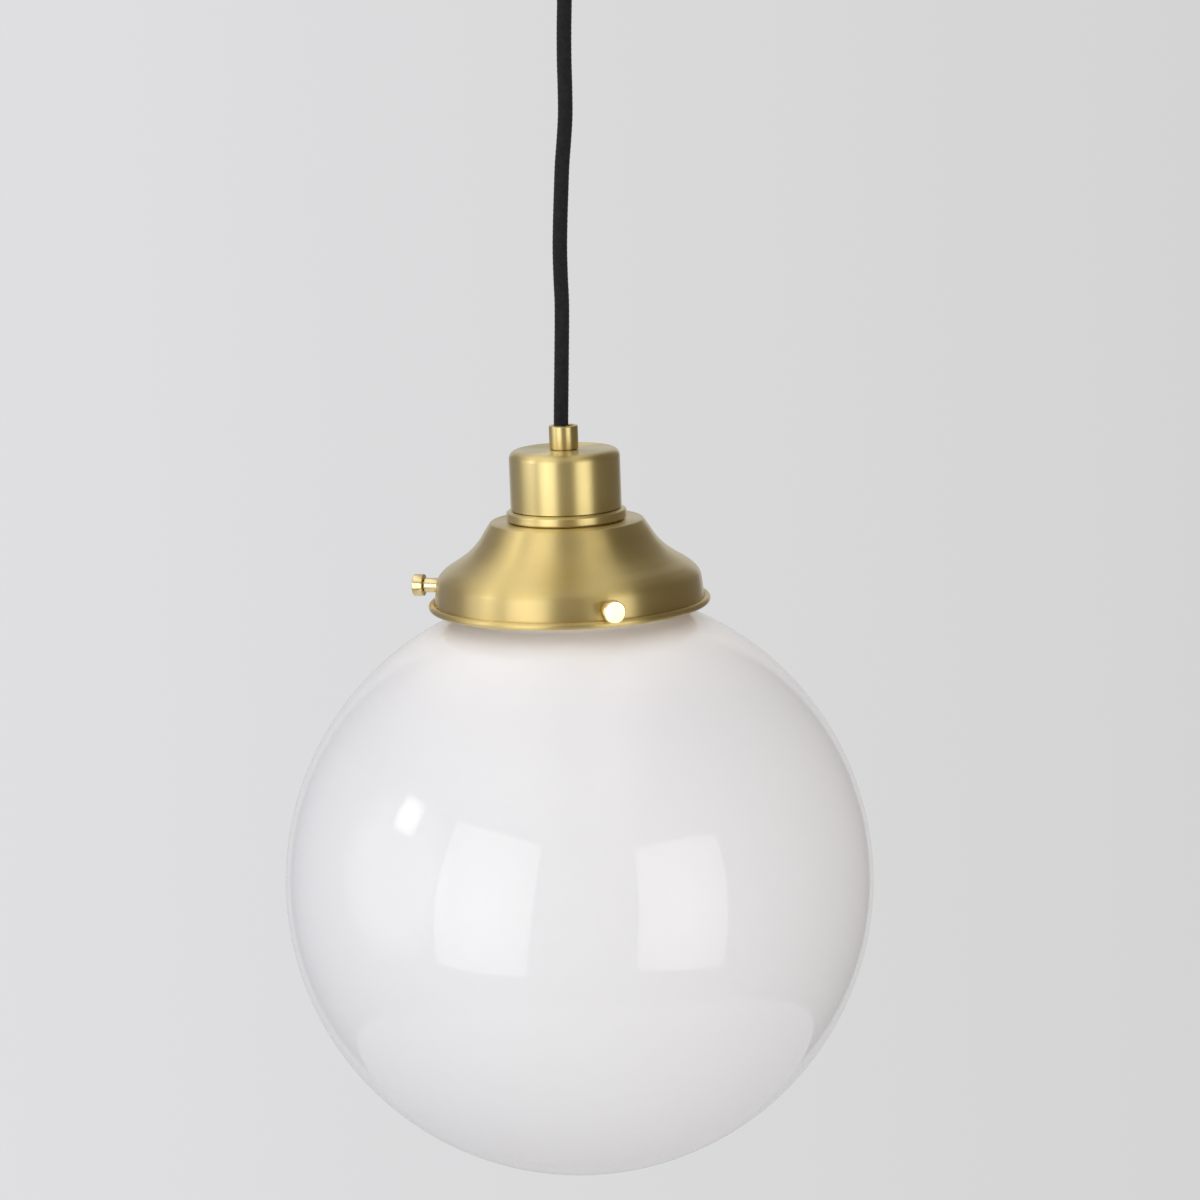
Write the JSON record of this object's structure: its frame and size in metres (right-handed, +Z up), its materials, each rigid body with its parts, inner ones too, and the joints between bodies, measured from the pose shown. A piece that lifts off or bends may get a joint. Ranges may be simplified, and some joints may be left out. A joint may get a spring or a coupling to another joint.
{
  "type": "pendant ceiling light",
  "caption": "Pendant ceiling light: round opal glass globe held by thumbscrews in a flared brass gallery, with a lampholder, textile flex and ceiling rose.",
  "frame": {"origin": "middle of the ceiling bracket's top face, on the ceiling plane; the lamp hangs below it", "axes": "+Z up, along the lamp's axis; -Y towards the front, +X to the right seen from the front"},
  "size_m": [0.25, 0.25, 0.6002],
  "materials": {
    "satin_brass": "satin, fine lathe lines, lacquered",
    "polished_brass": "polished",
    "zinc_steel": "zinc plated, dull",
    "screw_steel": "bright zinc",
    "rubber": "matt",
    "nylon": "moulded, matt",
    "black_textile": "braided, matt",
    "core_brown": "smooth",
    "core_blue": "smooth",
    "core_green": "green with a yellow stripe",
    "porcelain": "glazed",
    "opal_glass": "glossy opal",
    "solder": "dull tin",
    "black_glass": "glossy",
    "nickel": "nickel plated",
    "white_plastic": "satin",
    "bulb_opal": "frosted diffuser"
  },
  "bodies": {
    "ceiling": {"ceiling_bracket": "zinc_steel", "entry_grommet": "rubber", "rose_cup": "satin_brass", "rose_screw_left": "polished_brass", "rose_screw_right": "polished_brass", "terminal_block": "nylon", "block_screw": "screw_steel", "terminal_screw_live": "screw_steel", "terminal_screw_neutral": "screw_steel", "terminal_screw_earth": "screw_steel", "rose_live_wire": "core_brown", "rose_neutral_wire": "core_blue", "rose_earth_wire": "core_green", "bracket_earth_link": "core_green", "bracket_earth_screw": "screw_steel", "rose_grip": "satin_brass", "rose_grip_nut": "satin_brass", "rose_grip_screw": "screw_steel", "rose_flex_tail": "black_textile"},
    "cord": {"cord": "black_textile"},
    "lamp": {"holder_grip": "satin_brass", "holder_grip_screw": "screw_steel", "holder_grip_nut": "satin_brass", "earth_tag": "satin_brass", "holder_flex_tail": "black_textile", "holder_live_wire": "core_brown", "holder_neutral_wire": "core_blue", "holder_earth_wire": "core_green", "holder_screw_live": "screw_steel", "holder_screw_neutral": "screw_steel", "holder_cap": "satin_brass", "cap_ring": "satin_brass", "clamp_ring": "satin_brass", "lampholder_skirt": "satin_brass", "porcelain_core": "porcelain", "screw_shell": "satin_brass", "centre_contact": "satin_brass", "gallery": "satin_brass", "screw_boss_front": "polished_brass", "screw_boss_left": "polished_brass", "screw_boss_back": "polished_brass"},
    "globe": {"globe": "opal_glass"},
    "thumbscrew_front": {"thumbscrew_front": "polished_brass"},
    "thumbscrew_left": {"thumbscrew_left": "polished_brass"},
    "thumbscrew_back": {"thumbscrew_back": "polished_brass"},
    "bulb_lift": {"bulb_contact": "solder"},
    "bulb": {"bulb_insulator": "black_glass", "bulb_cap": "nickel", "bulb_collar": "white_plastic", "bulb_dome": "bulb_opal"}
  },
  "joints": [
    {"name": "cord_swing", "type": "hinge", "parent": "ceiling", "child": "cord", "pos_m": [0, 0, -0.038], "axis": [0, 1, 0], "range_deg": [-25, 25]},
    {"name": "lamp_tilt", "type": "hinge", "parent": "cord", "child": "lamp", "pos_m": [0, 0, -0.28], "axis": [1, 0, 0], "range_deg": [-15, 15]},
    {"name": "globe_drop", "type": "slide", "parent": "lamp", "child": "globe", "axis": [0, 0, -1], "range_m": [0, 0.024]},
    {"name": "thumbscrew_front_undo", "type": "slide", "parent": "lamp", "child": "thumbscrew_front", "axis": [0.2756, -0.9613, 0], "range_m": [0, 0.0101]},
    {"name": "thumbscrew_left_undo", "type": "slide", "parent": "lamp", "child": "thumbscrew_left", "axis": [-0.9703, 0.2419, 0], "range_m": [0, 0.0101]},
    {"name": "thumbscrew_back_undo", "type": "slide", "parent": "lamp", "child": "thumbscrew_back", "axis": [0.6947, 0.7193, 0], "range_m": [0, 0.0101]},
    {"name": "bulb_unscrew", "type": "slide", "parent": "lamp", "child": "bulb_lift", "axis": [0, 0, -1], "range_m": [0, 0.0217]},
    {"name": "bulb_turn", "type": "hinge", "parent": "bulb_lift", "child": "bulb", "pos_m": [0, 0, -0.319], "axis": [0, 0, 1], "range_deg": [-2160, 0]}
  ],
  "couplings": [
    {"joint": "thumbscrew_front_undo", "follows": "globe_drop", "ratio": 0.41667},
    {"joint": "thumbscrew_left_undo", "follows": "globe_drop", "ratio": 0.41667},
    {"joint": "thumbscrew_back_undo", "follows": "globe_drop", "ratio": 0.41667},
    {"joint": "bulb_unscrew", "follows": "bulb_turn", "m_per_rad": -0.00057296}
  ]
}
